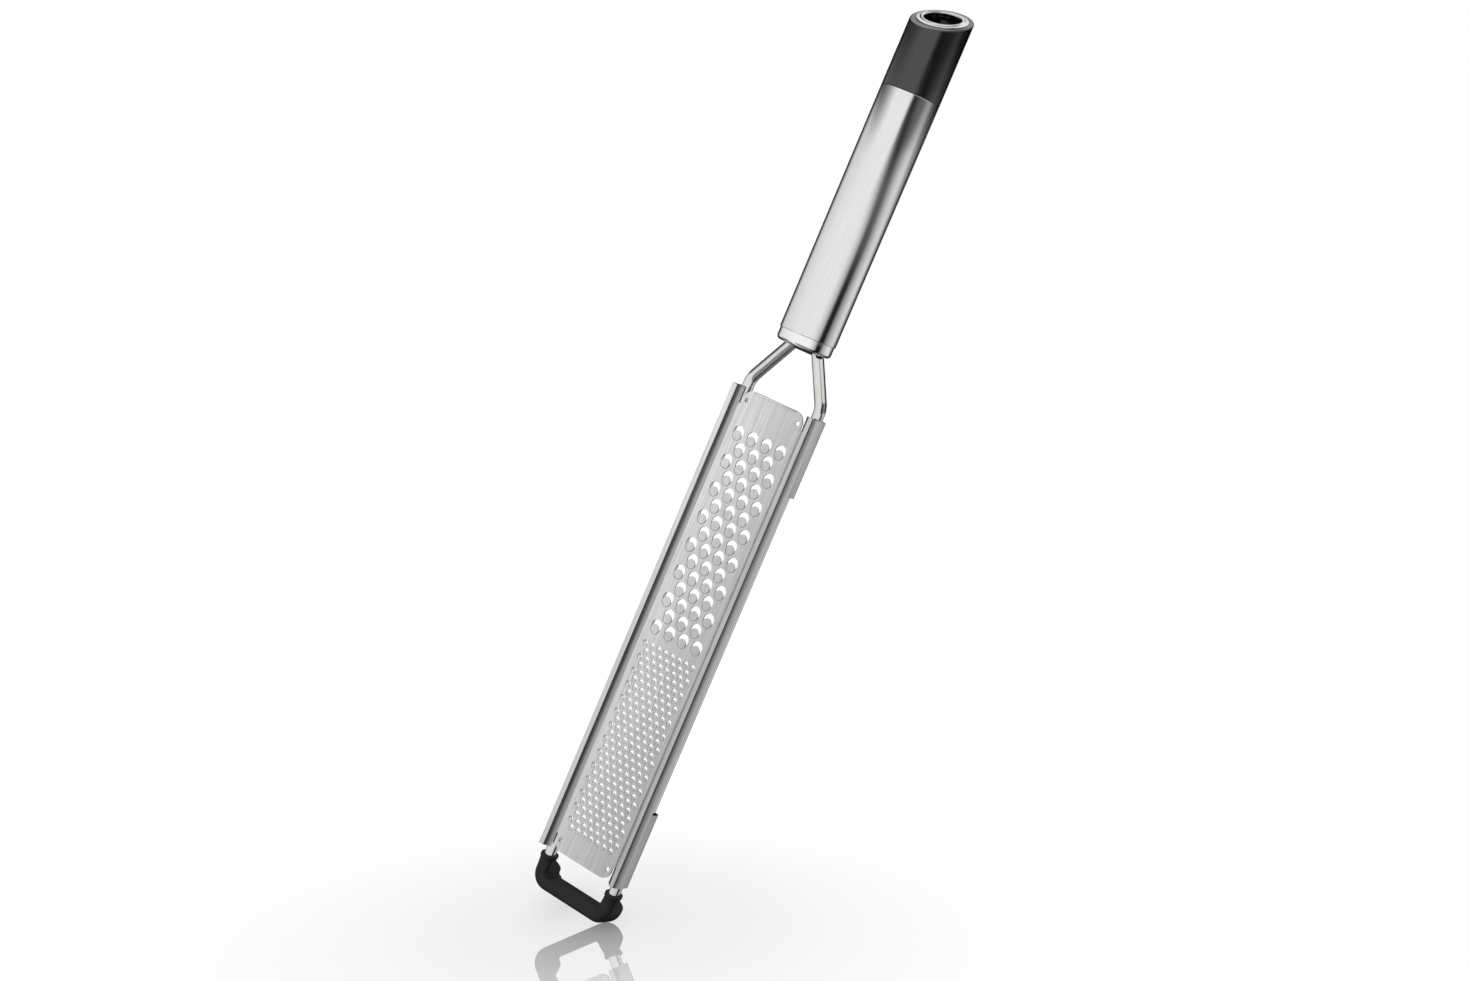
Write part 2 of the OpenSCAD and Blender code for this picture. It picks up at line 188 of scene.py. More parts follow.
# Faces that meet at more than so many degrees have a sharp edge between them
SHARP = 40
SHARP_FOLDED = 50
SHARP_CAP = 30

# Places, read from the frame. X is counted from the blade's end nearest the handle
START_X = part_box("blade")[0].x / MM
ROD_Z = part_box("frame_wire")[0].z / MM + ROD_R
HANDLE_Z = (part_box("handle_tube")[0].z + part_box("handle_tube")[1].z) / 2 / MM

# Stations along X, and the top of the foot
FERRULE_X = -NECK_L
TUBE_NECK_X = FERRULE_X - FERRULE_L
TUBE_CAP_X = TUBE_NECK_X - TUBE_L
FACE_X = TUBE_CAP_X - CAP_L
FOOT_MID_X = BLADE_L + FOOT_DROP
FOOT_FULL_X = FOOT_MID_X - FOOT_TURN_R - FOOT_RUN
COLLAR_X = FOOT_FULL_X - WAIST_L - COLLAR_L
FOOT_TOP_Z = FOOT_DEPTH / 2 - FOOT_SINK

# Section of the blade's rails, with heights counted from the middle of the rod. The wall leaves the face in a
# tight fold, steepens slowly, turns over a narrow crest and goes down in a bulging side
TAB_BOTTOM = ROD_R + FIT + SHEET_T
TAB_CORNER_R = 2
TAB_END_Y = 16.6
RAIL_Y = 21
FOLD_SLOPE = 46
FOLD_R = 0.9
FACE_Y = 15.38
FOLD_Y = FACE_Y - FOLD_R * math.tan(math.radians(FOLD_SLOPE / 2))
WALL_SLOPE = 59
WALL_R = 14.97
CREST_IN_R = 0.9
CREST_OUT_R = 0.7
BULGE_R = 9
BULGE_SLOPE = 62
END_Y = FACE_Y - SLIT_W
PLAIN_EDGE_Z = 2.7
PLAIN_EDGE_R = 0.4


def sin(angle):
    return math.sin(math.radians(angle))


def cos(angle):
    return math.cos(math.radians(angle))


def tan(angle):
    return math.tan(math.radians(angle))


def spread(start, end, count):
    """count + 1 evenly spaced values from start to end."""
    return [start + (end - start) * i / count for i in range(count + 1)]


def arc(centre, radius, start, end, step=6):
    """Points of an arc in a plane, with a point every step degrees or less."""
    count = max(2, math.ceil(abs(end - start) / step))
    return [(centre[0] + radius * cos(a), centre[1] + radius * sin(a)) for a in spread(start, end, count)]


def smooth(t):
    """Goes from 0 to 1 with no jump in slope."""
    t = min(1, max(0, t))
    return t * t * (3 - 2 * t)


def rounded(corners, step=15):
    """A closed outline from corners (a, b, radius), with each corner rounded."""
    outline = []
    for i, (a, b, radius) in enumerate(corners):
        here = Vector((a, b))
        before = Vector(corners[i - 1][:2]) - here
        after = Vector(corners[(i + 1) % len(corners)][:2]) - here
        if radius == 0:
            outline.append(here)
            continue
        half = before.angle(after) / 2
        reach = radius / math.tan(half)
        start = here + before.normalized() * reach
        end = here + after.normalized() * reach
        centre = here + (before.normalized() + after.normalized()).normalized() * (radius / math.sin(half))
        count = max(2, math.ceil((180 - 2 * math.degrees(half)) / step))
        swing = (end - centre).angle_signed(start - centre)
        for i_step in range(count + 1):
            turn = swing * i_step / count
            arm = start - centre
            outline.append(centre + Vector((
                arm.x * math.cos(turn) - arm.y * math.sin(turn),
                arm.x * math.sin(turn) + arm.y * math.cos(turn),
            )))
    return [tuple(p) for p in outline]


class Surface:
    """Points and faces of one piece, in millimetres."""

    def __init__(self):
        self.points = []
        self.faces = []
        # Ranges of faces that get the second material
        self.marked = []

    def add(self, points):
        first = len(self.points)
        self.points.extend(points)
        return list(range(first, len(self.points)))

    def strip(self, one, other, closed=False):
        """Quads between two rows of point numbers."""
        count = len(one)
        for i in range(count if closed else count - 1):
            j = (i + 1) % count
            self.faces.append((one[i], one[j], other[j], other[i]))

    def grid(self, rows, closed=False, ring=False):
        """Quads through rows of points. closed joins each row's ends, and ring the last row to the first."""
        numbers = [self.add(row) for row in rows]
        for one, other in zip(numbers, numbers[1:]):
            self.strip(one, other, closed)
        if ring:
            self.strip(numbers[-1], numbers[0], closed)
        return numbers

    def lid(self, numbers):
        self.faces.append(tuple(numbers))

    def build(self, name, material, sharp=SHARP, mark=None):
        """Makes the piece. Marked faces get the second material, mark."""
        mesh = bpy.data.meshes.new(name)
        mesh.from_pydata([Vector(p) * MM for p in self.points], [], self.faces)
        for first, last in self.marked:
            for face in mesh.polygons[first:last]:
                face.material_index = 1
        work = bmesh.new()
        work.from_mesh(mesh)
        bmesh.ops.remove_doubles(work, verts=work.verts, dist=MERGE * MM)
        bmesh.ops.recalc_face_normals(work, faces=work.faces)
        work.to_mesh(mesh)
        work.free()
        return dressed(name, mesh, material, sharp, mark)


def dressed(name, mesh, material, sharp, mark):
    mesh.shade_smooth()
    mesh.set_sharp_from_angle(angle=math.radians(sharp))
    mesh.materials.append(material)
    if mark:
        mesh.materials.append(mark)
    piece = bpy.data.objects.new(name, mesh)
    bpy.context.scene.collection.objects.link(piece)
    return piece


def along(x, y, z):
    """A point given by its station along the blade and its height above the rod's middle."""
    return Vector((START_X + x, y, ROD_Z + z))


def turned(x, radius, angle):
    """A point round the handle's middle line; angle 0 is up."""
    return Vector((START_X + x, radius * sin(angle), HANDLE_Z + radius * cos(angle)))


FACE_OUT = Vector((-cos(FACE_TILT), 0, sin(FACE_TILT)))
FACE_UP = Vector((sin(FACE_TILT), 0, cos(FACE_TILT)))
FACE_SIDE = Vector((0, 1, 0))
FACE_MID = Vector((START_X + FACE_X, 0, HANDLE_Z))


def on_face(out, radius, angle):
    """A point round the middle of the cap's slanted face."""
    return FACE_MID + FACE_OUT * out + (FACE_UP * cos(angle) + FACE_SIDE * sin(angle)) * radius


def revolve(surface, outline, place, count=ROUND):
    """Turns a closed outline of (along, radius) points round an axis."""
    turns = [360 * i / count for i in range(count)]
    return surface.grid([[place(a, r, turn) for turn in turns] for a, r in outline], closed=True, ring=True)


# Materials

# Nearly all of a noise lies between these
NOISE_LOW = 0.3
NOISE_HIGH = 0.7
STEEL_CLOUDS = 60
PLASTIC_CLOUDS = 90

# Painted shade, darker towards the blade's +Y side and its foot end, as (axis, start, end, level at the end)
BLADE_PAINTED_SHADE = (("Y", -15, 15, 0.74), ("X", 0, 170, 0.84))


class Tree:
    """A node tree that takes nodes one at a time. A value is a number, a vector or another node's output."""

    def __init__(self, owner):
        owner.use_nodes = True
        self.nodes = owner.node_tree.nodes
        self.links = owner.node_tree.links

    def put(self, value, socket):
        if isinstance(value, bpy.types.NodeSocket):
            self.links.new(value, socket)
        else:
            socket.default_value = value

    def add(self, kind, inputs=(), **settings):
        """A new node, with values for its input sockets by name or number."""
        node = self.nodes.new("ShaderNode" + kind)
        for name, setting in settings.items():
            setattr(node, name, setting)
        for socket, value in dict(inputs).items():
            self.put(value, node.inputs[socket])
        return node

    def maths(self, operation, *values, clamp=False):
        return self.add("Math", enumerate(values), operation=operation, use_clamp=clamp).outputs["Value"]

    def ramp(self, value, stops):
        """Runs through stops of a position and a colour."""
        node = self.add("ValToRGB", {"Fac": value})
        elements = node.color_ramp.elements
        while len(elements) > 1:
            elements.remove(elements[-1])
        for i, (position, colour) in enumerate(stops):
            element = elements[0] if i == 0 else elements.new(position)
            element.position = position
            element.color = (*colour, 1)
        return node.outputs["Color"]

    def mixed(self, share, one, other):
        return self.add("MixShader", {"Fac": share, 1: one, 2: other}).outputs["Shader"]


def new_material(name):
    material = bpy.data.materials.new(name)
    tree = Tree(material)
    return material, tree, tree.nodes["Principled BSDF"]


def place_noise(tree, scale, stretch, detail=4):
    """Noise in the object's own coordinates, stretched by a factor on each axis."""
    place = tree.add("TexCoord").outputs["Object"]
    stretched = tree.add("Mapping", {"Vector": place, "Scale": stretch}).outputs["Vector"]
    return tree.add("TexNoise", {"Vector": stretched, "Scale": scale, "Detail": detail}).outputs["Fac"]


def scaled(tree, value, low, high):
    """Spreads the middle of a noise from low to high."""
    return tree.add("MapRange", {
        "Value": value, "From Min": NOISE_LOW, "From Max": NOISE_HIGH, "To Min": low, "To Max": high,
    }).outputs["Result"]


def bumped(tree, shader, value, height):
    bump = tree.add("Bump", {"Height": value, "Strength": 1, "Distance": height * MM})
    tree.put(bump.outputs["Normal"], shader.inputs["Normal"])


def paint_shade(tree, colour, axis, start, end, low):
    """Painted shade: darkens a colour along an object axis, from nothing at start to low at end, in millimetres.
    """
    place = tree.add("TexCoord").outputs["Object"]
    parts = tree.add("SeparateXYZ", {"Vector": place}).outputs
    painted_fade = tree.add("MapRange", {
        "Value": parts[axis], "From Min": start * MM, "From Max": end * MM, "To Min": 1, "To Max": low,
    })
    product = tree.add("VectorMath", {0: colour, "Scale": painted_fade.outputs["Result"]}, operation="SCALE")
    return product.outputs["Vector"]


def steel(name, dark, light, rough, grain, grain_height, painted_shades=()):
    """Steel with a fine grain along X, slow clouds in its gloss, and any painted shades that darken its colour.
    """
    material, tree, shader = new_material(name)
    shader.inputs["Metallic"].default_value = 1
    clouds = place_noise(tree, STEEL_CLOUDS, (0.4, 1, 1))
    lines = place_noise(tree, grain, (0.02, 1, 1), detail=3)
    colour = tree.ramp(lines, [(NOISE_LOW, dark), (NOISE_HIGH, light)])
    # Painted shade, darkening the colour along the object's axes
    for painted_fade in painted_shades:
        colour = paint_shade(tree, colour, *painted_fade)
    tree.put(colour, shader.inputs["Base Color"])
    tree.put(scaled(tree, clouds, *rough), shader.inputs["Roughness"])
    if grain_height:
        bumped(tree, shader, lines, grain_height)
    return material


def moulded(name, dark, light, rough, grain, grain_height, gloss=0.5):
    """Black plastic or rubber with a fine even grain."""
    material, tree, shader = new_material(name)
    clouds = place_noise(tree, PLASTIC_CLOUDS, (1, 1, 1))
    pits = place_noise(tree, grain, (1, 1, 1), detail=2)
    tree.put(tree.ramp(clouds, [(NOISE_LOW, dark), (NOISE_HIGH, light)]), shader.inputs["Base Color"])
    tree.put(scaled(tree, clouds, *rough), shader.inputs["Roughness"])
    shader.inputs["Specular IOR Level"].default_value = gloss
    bumped(tree, shader, pits, grain_height)
    return material


# The blade's colour carries painted shade along Y and along X
BLADE_STEEL = steel("blade_steel", (0.64, 0.63, 0.625), (0.86, 0.85, 0.845), rough=(0.14, 0.2),
                    grain=1800, grain_height=0.003, painted_shades=BLADE_PAINTED_SHADE)
# Darker steel: the cut walls of the mouths and the tongues' free edges are really darker, and on the flank round
# each tongue it is painted shade
CUT_EDGE_AND_PAINTED_SHADE_STEEL = steel("cut_edge_and_painted_shade_steel", (0.3, 0.295, 0.29), (0.4, 0.395, 0.39), rough=(0.3, 0.4),
                  grain=1800, grain_height=0.003)
TUBE_STEEL = steel("tube_steel", (0.78, 0.78, 0.78), (0.84, 0.84, 0.84), rough=(0.11, 0.15),
                   grain=2200, grain_height=0.0007)
ROD_STEEL = steel("rod_steel", (0.7, 0.7, 0.69), (0.78, 0.78, 0.77), rough=(0.08, 0.12),
                  grain=1200, grain_height=0.0005)
POLISHED = steel("polished_steel", (0.9, 0.9, 0.9), (0.93, 0.93, 0.93), rough=(0.04, 0.07),
                 grain=900, grain_height=0)
RING_STEEL = steel("ring_steel", (0.58, 0.58, 0.58), (0.64, 0.64, 0.64), rough=(0.05, 0.08),
                   grain=900, grain_height=0)
CAP_PLASTIC = moulded("cap_plastic", (0.004, 0.004, 0.0043), (0.007, 0.007, 0.0075), rough=(0.14, 0.19),
                      grain=3500, grain_height=0.001, gloss=0.95)
CORE_PLASTIC = moulded("core_plastic", (0.02, 0.02, 0.021), (0.03, 0.03, 0.031), rough=(0.45, 0.55),
                       grain=2500, grain_height=0.01)
RUBBER = moulded("foot_rubber", (0.008, 0.008, 0.0085), (0.014, 0.014, 0.0145), rough=(0.42, 0.55),
                 grain=3000, grain_height=0.008, gloss=0.3)


# Blade

def tooth_stations():
    """(kind, x, y) of every tooth: two fields in a triangular pattern of 60 degrees."""
    start = COARSE_START
    for kind in (COARSE, FINE):
        row_pitch = kind["pitch"] * sin(60)
        for row in range(kind["rows"]):
            count = kind["n"] - row % 2
            for i in range(count):
                yield kind, start + row * row_pitch, (i - (count - 1) / 2) * kind["pitch"]
        start += (kind["rows"] - 1) * row_pitch + FIELD_GAP


def tooth_angles(kind):
    """Where a tooth's mouth meets the flank round its tongue, seen from the middle of each."""
    mouth_r, shift = kind["mouth_r"], kind["shift"]
    flank_r = kind["tongue_r"] + kind["flank"]
    meet_x = (mouth_r ** 2 - flank_r ** 2 + shift ** 2) / (2 * shift)
    return math.degrees(math.acos(meet_x / mouth_r)), math.degrees(math.acos((meet_x - shift) / flank_r))


def mouth_arc(kind, x, y):
    mouth_a, _ = tooth_angles(kind)
    angles = spread(mouth_a, 360 - mouth_a, kind["steps"])
    return [(x + kind["mouth_r"] * cos(a), y + kind["mouth_r"] * sin(a)) for a in angles]


def tongue_point(kind, x, y, radius, angle):
    """A point of the tongue or its flank: its place, its height and the sheet's thickness there."""
    tongue_r, shift = kind["tongue_r"], kind["shift"]
    flank_r = tongue_r + kind["flank"]
    px = shift + radius * cos(angle)
    py = radius * sin(angle)
    rise = max(0, shift + tongue_r - px) * tan(TONGUE_SLOPE)
    share = smooth((flank_r - GUARD - radius) / (kind["flank"] - GUARD))
    lean = min(1, max(0, (px - shift + tongue_r) / (2 * tongue_r)))
    thick = SHEET_T + share * (1 - lean) * (kind["edge_t"] - SHEET_T)
    return (x + px, y + py, rise * share, thick)


def tooth(surface, kind, x, y):
    """The raised tongue, the flank that joins it to the face, and the walls of the mouth."""
    _, flank_a = tooth_angles(kind)
    tongue_r, flank = kind["tongue_r"], kind["flank"]
    flank_angles = spread(-flank_a, flank_a, kind["steps"])
    free_angles = spread(flank_a, 360 - flank_a, kind["steps"])
    flank_radii = [tongue_r + flank] + spread(tongue_r + flank - GUARD, tongue_r, FLANK_STEPS)
    around = flank_angles + free_angles[1:-1]
    disc_radii = [tongue_r * share for share in TONGUE_RINGS]

    def both(points):
        """Point numbers on the top and on the underside."""
        top = surface.add([along(px, py, FACE_RISE + pz) for px, py, pz, _ in points])
        under = surface.add([along(px, py, FACE_RISE + pz - thick) for px, py, pz, thick in points])
        return top, under

    flank_rows = [both([tongue_point(kind, x, y, r, a) for a in flank_angles]) for r in flank_radii]
    disc_rows = [both([tongue_point(kind, x, y, r, a) for a in around]) for r in disc_radii]
    first = len(surface.faces)
    for side in (0, 1):
        for one, other in zip(flank_rows, flank_rows[1:]):
            surface.strip(one[side], other[side])
    # The flank takes the darker steel, as painted shade round the tongue
    surface.marked.append((first, len(surface.faces)))
    for side in (0, 1):
        for one, other in zip(disc_rows, disc_rows[1:]):
            surface.strip(one[side], other[side], closed=True)
        surface.lid(disc_rows[-1][side])
    for end in (0, -1):
        surface.strip([row[0][end] for row in flank_rows], [row[1][end] for row in flank_rows])
    first = len(surface.faces)
    free = both([tongue_point(kind, x, y, tongue_r, a) for a in free_angles])
    surface.strip(*free)
    mouth = both([(px, py, 0, SHEET_T) for px, py in mouth_arc(kind, x, y)])
    surface.strip(*mouth)
    surface.marked.append((first, len(surface.faces)))


def tooth_outline(kind, x, y):
    """The hole that a tooth leaves in the flat of the face."""
    _, flank_a = tooth_angles(kind)
    flank_r = kind["tongue_r"] + kind["flank"]
    angles = spread(-flank_a, flank_a, kind["steps"])
    flank = [(x + kind["shift"] + flank_r * cos(a), y + flank_r * sin(a)) for a in angles]
    return mouth_arc(kind, x, y)[:-1] + flank[:-1]


def face_outline():
    """Outline of the flat of the face, with the stretches that end in a free edge."""
    side_y = FOLD_Y - GUARD
    mid_y = END_Y - CORNER_R
    far_mid = BLADE_L - CORNER_R
    stations = [SLIT_L, TAB_L, BLADE_L - TAB_L, BLADE_L - SLIT_L]
    lip_x = LIP_R + GUARD
    near_low = [(lip_x, -mid_y)] + arc((CORNER_R, -mid_y), CORNER_R, 180, 270)
    near_low += [(SLIT_L, -END_Y), (SLIT_L, -side_y)]
    far = [(stations[-1], -side_y), (stations[-1], -END_Y)] + arc((far_mid, -mid_y), CORNER_R, 270, 360)
    far += arc((far_mid, mid_y), CORNER_R, 0, 90) + [(stations[-1], END_Y), (stations[-1], side_y)]
    near_high = [(SLIT_L, side_y), (SLIT_L, END_Y)] + arc((CORNER_R, mid_y), CORNER_R, 90, 180)
    near_high += [(lip_x, mid_y)]
    low = [(x, -side_y) for x in stations[1:-1]]
    high = [(x, side_y) for x in reversed(stations[1:-1])]
    return near_low + low + far + high + near_high, (near_low, far, near_high)


def face_flat(surface):
    """The flat of the face, cut round its holes, as two layers."""
    outline, free_edges = face_outline()
    holes = [arc((x, side * CORNER_HOLE_Y), CORNER_HOLE_R, 0, 360, CORNER_HOLE_STEP)[:-1]
             for x in (CORNER_HOLE_X, BLADE_L - CORNER_HOLE_X) for side in (-1, 1)]
    loops = [outline] + holes + [tooth_outline(*station) for station in tooth_stations()]
    points = []
    numbers = []
    for loop in loops:
        numbers.append(list(range(len(points), len(points) + len(loop))))
        points.extend(Vector(p) for p in loop)
    flat = delaunay_2d_cdt(points, [], numbers, 1, WELD)
    top = surface.add([along(p.x, p.y, FACE_RISE) for p in flat[0]])
    under = surface.add([along(p.x, p.y, FACE_RISE - SHEET_T) for p in flat[0]])
    for corners, sources in zip(flat[2], flat[5]):
        if list(sources) == [0]:
            surface.faces.append(tuple(top[c] for c in corners))
            surface.faces.append(tuple(under[c] for c in corners))
    for edge in free_edges:
        wall(surface, edge)
    for hole in holes:
        wall(surface, hole + hole[:1])


def wall(surface, edge):
    """The cut edge of the sheet along a line of the face."""
    top = surface.add([along(x, y, FACE_RISE) for x, y in edge])
    under = surface.add([along(x, y, FACE_RISE - SHEET_T) for x, y in edge])
    surface.strip(top, under)


def bend(centre, outer, inner, start, end):
    """Pairs of points on the two sides of the sheet round a bend."""
    return list(zip(arc(centre, outer, start, end), arc(centre, inner, start, end)))


def rail_pairs():
    """The parts of a rail's section, as pairs of points on the two sides of the sheet.

    They are the fold, the wall, the crest with the side, the side's plain lower edge, and the tab.
    """
    fold = (FOLD_Y, FACE_RISE + FOLD_R)
    reach = WALL_R - FOLD_R
    hollow = (fold[0] - reach * sin(FOLD_SLOPE), fold[1] + reach * cos(FOLD_SLOPE))
    reach = WALL_R + CREST_IN_R
    crest = (hollow[0] + reach * sin(WALL_SLOPE), hollow[1] - reach * cos(WALL_SLOPE))
    fold_part = [((FOLD_Y - GUARD, FACE_RISE), (FOLD_Y - GUARD, FACE_RISE - SHEET_T))]
    fold_part += bend(fold, FOLD_R, FOLD_R + SHEET_T, -90, FOLD_SLOPE - 90)
    wall_part = bend(hollow, WALL_R, WALL_R + SHEET_T, FOLD_SLOPE - 90, WALL_SLOPE - 90)
    bulge_y = RAIL_Y - BULGE_R
    reach = BULGE_R - CREST_OUT_R
    crest_out = (bulge_y + reach * sin(BULGE_SLOPE), crest[1] + CREST_IN_R - CREST_OUT_R)
    bulge = (bulge_y, crest_out[1] - reach * cos(BULGE_SLOPE))
    top = bend(crest, CREST_IN_R, CREST_IN_R - SHEET_T, 90 + WALL_SLOPE, 90)
    top += bend(crest_out, CREST_OUT_R, CREST_OUT_R - SHEET_T, 90, 90 - BULGE_SLOPE)
    top += bend(bulge, BULGE_R, BULGE_R - SHEET_T, 90 - BULGE_SLOPE, 0)[1:]
    edge_z = PLAIN_EDGE_Z + PLAIN_EDGE_R
    plain = [((RAIL_Y, edge_z), (RAIL_Y - SHEET_T, edge_z))]
    for a in spread(0, EDGE_TURN, EDGE_STEPS)[1:]:
        z = edge_z - PLAIN_EDGE_R * sin(a)
        plain.append(((RAIL_Y - PLAIN_EDGE_R + PLAIN_EDGE_R * cos(a), z), (RAIL_Y - SHEET_T, z)))
    corner = (RAIL_Y - TAB_CORNER_R, TAB_CORNER_R - TAB_BOTTOM)
    tab = plain[:1] + bend(corner, TAB_CORNER_R, TAB_CORNER_R - SHEET_T, 0, -90)
    tab += [((TAB_END_Y, -TAB_BOTTOM), (TAB_END_Y, SHEET_T - TAB_BOTTOM))]
    return fold_part, wall_part, top, plain, tab


def run(surface, pairs, x0, x1, side, first0, first1, ends):
    """Extrudes part of a rail.

    first0 and first1 say from which pair on each end is closed, or None, and ends says which long edges are.
    """
    rows = []
    for x in (x0, x1):
        outer = surface.add([along(x, side * y, z) for (y, z), _ in pairs])
        inner = surface.add([along(x, side * y, z) for _, (y, z) in pairs])
        rows.append((outer, inner))
    surface.strip(rows[0][0], rows[1][0])
    surface.strip(rows[0][1], rows[1][1])
    for (outer, inner), first in zip(rows, (first0, first1)):
        if first is not None:
            surface.strip(outer[first:], inner[first:])
    for end in ends:
        surface.faces.append((rows[0][0][end], rows[1][0][end], rows[1][1][end], rows[0][1][end]))


def rail(surface, side):
    fold_part, wall_part, top, plain, tab = rail_pairs()
    far = BLADE_L - TAB_L
    run(surface, fold_part, SLIT_L, BLADE_L - SLIT_L, side, 0, 0, ())
    run(surface, wall_part + top[1:] + plain, TAB_L, far, side, None, None, (-1,))
    for near, slit, inner in ((0, SLIT_L, TAB_L), (BLADE_L, BLADE_L - SLIT_L, far)):
        run(surface, wall_part + top[1:] + tab, near, slit, side, 0, None, (0, -1))
        run(surface, wall_part + top[1:] + plain[:1], slit, inner, side, None, None, ())
        run(surface, tab, slit, inner, side, None, 0, (-1,))


def end_lip(surface):
    """The edge turned down at the handle's end."""
    half = END_Y - CORNER_R
    pairs = [((LIP_R + GUARD, FACE_RISE), (LIP_R + GUARD, FACE_RISE - SHEET_T))]
    pairs += bend((LIP_R, FACE_RISE - LIP_R), LIP_R, LIP_R - SHEET_T, 90, 180)
    rows = []
    for y in (-half, half):
        outer = surface.add([along(x, y, z) for (x, z), _ in pairs])
        inner = surface.add([along(x, y, z) for _, (x, z) in pairs])
        surface.strip(outer, inner)
        rows.append((outer, inner))
    surface.strip(rows[0][0], rows[1][0])
    surface.strip(rows[0][1], rows[1][1])
    surface.faces.append((rows[0][0][-1], rows[1][0][-1], rows[1][1][-1], rows[0][1][-1]))


def blade():
    surface = Surface()
    face_flat(surface)
    for station in tooth_stations():
        tooth(surface, *station)
    end_lip(surface)
    for side in (-1, 1):
        rail(surface, side)
    return surface.build("blade_mesh", BLADE_STEEL, sharp=SHARP_FOLDED, mark=CUT_EDGE_AND_PAINTED_SHADE_STEEL)


# Rod

def rod_path():
    """(x, y, heading) along the middle of one half of the rod, from inside the handle to the foot's middle."""
    shoulder_x = -SHOULDER_GAP
    neck_x = shoulder_x - (LEG_Y - NECK_Y) / tan(SPLAY)
    neck_t = NECK_BEND_R * tan(SPLAY / 2)
    shoulder_t = SHOULDER_BEND_R * tan(SPLAY / 2)
    path = [(neck_x - ROD_GRIP, NECK_Y, 0)]
    for a in spread(0, SPLAY, BEND_STEPS):
        path.append((neck_x - neck_t + NECK_BEND_R * sin(a), NECK_Y + NECK_BEND_R * (1 - cos(a)), a))
    for a in spread(SPLAY, 0, BEND_STEPS):
        path.append((shoulder_x + shoulder_t - SHOULDER_BEND_R * sin(a),
                     LEG_Y - SHOULDER_BEND_R * (1 - cos(a)), a))
    for a in spread(0, 90, FOOT_BEND_STEPS):
        path.append((FOOT_MID_X - FOOT_BEND_R + FOOT_BEND_R * sin(a),
                     LEG_Y - FOOT_BEND_R + FOOT_BEND_R * cos(a), -a))
    return path


def frame_wire():
    surface = Surface()
    half = rod_path()
    other = [(x, -y, 180 - heading) for x, y, heading in reversed(half)]
    rows = []
    for x, y, heading in half + other:
        side = Vector((-sin(heading), cos(heading), 0))
        flip = 1 if (x, y, heading) in half else -1
        ring = [along(x, y, 0) + side * flip * ROD_R * cos(a) + Vector((0, 0, ROD_R * sin(a)))
                for a in spread(0, 360, ROD_SIDES)[:-1]]
        rows.append(ring)
    numbers = surface.grid(rows, closed=True)
    surface.lid(numbers[0])
    surface.lid(numbers[-1])
    return surface.build("rod_mesh", ROD_STEEL)


# Handle

def handle_tube():
    surface = Surface()
    outline = rounded([
        (TUBE_CAP_X, TUBE_CAP_R, TUBE_EDGE_R),
        (TUBE_NECK_X, TUBE_NECK_R, TUBE_EDGE_R),
        (TUBE_NECK_X, TUBE_NECK_R - TUBE_WALL, TUBE_BORE_EDGE_R),
        (TUBE_CAP_X, TUBE_CAP_R - TUBE_WALL, TUBE_BORE_EDGE_R),
    ])
    revolve(surface, outline, turned)
    return surface.build("tube_mesh", TUBE_STEEL)


def neck_slot():
    """Outline of the slot in the ferrule's floor, as (y, z) points round the rod's height."""
    neck_x = -SHOULDER_GAP - (LEG_Y - NECK_Y) / tan(SPLAY)
    half_w = NECK_Y + (FERRULE_X - neck_x) * tan(SPLAY) + ROD_R / cos(SPLAY) + 2 * FIT
    half_h = ROD_R + 2 * FIT
    drop = ROD_Z - HANDLE_Z
    mid = half_w - half_h
    return arc((mid, drop), half_h, -90, 90) + arc((-mid, drop), half_h, 90, 270)


def ferrule():
    surface = Surface()
    outer_r = TUBE_NECK_R - FERRULE_STEP
    spigot_r = TUBE_NECK_R - TUBE_WALL - FIT
    cup_r = spigot_r - FERRULE_WALL
    flat_r = outer_r - FERRULE_EDGE - GUARD
    back_x = TUBE_NECK_X - FERRULE_SPIGOT
    floor_x = FERRULE_X - FERRULE_WALL
    outline = [(floor_x, flat_r), (floor_x, cup_r), (back_x, cup_r), (back_x, spigot_r)]
    outline += [(TUBE_NECK_X, spigot_r), (TUBE_NECK_X, outer_r)]
    outline += arc((FERRULE_X - FERRULE_EDGE, outer_r - FERRULE_EDGE), FERRULE_EDGE, 90, 0)
    outline += [(FERRULE_X, flat_r)]
    turns = [360 * i / ROUND for i in range(ROUND)]
    surface.grid([[turned(x, r, turn) for turn in turns] for x, r in outline], closed=True)
    rim = [Vector((flat_r * sin(turn), flat_r * cos(turn))) for turn in turns]
    slot = [Vector(p) for p in neck_slot()]
    loops = [list(range(len(rim))), list(range(len(rim), len(rim) + len(slot)))]
    flat = delaunay_2d_cdt(rim + slot, [], loops, 1, WELD)
    layers = []
    for x in (floor_x, FERRULE_X):
        layer = surface.add([Vector((START_X + x, p.x, HANDLE_Z + p.y)) for p in flat[0]])
        edge = surface.add([Vector((START_X + x, p.x, HANDLE_Z + p.y)) for p in slot])
        layers.append(edge)
        for corners, sources in zip(flat[2], flat[5]):
            if list(sources) == [0]:
                surface.faces.append(tuple(layer[c] for c in corners))
    surface.strip(*layers, closed=True)
    return surface.build("ferrule_mesh", POLISHED)


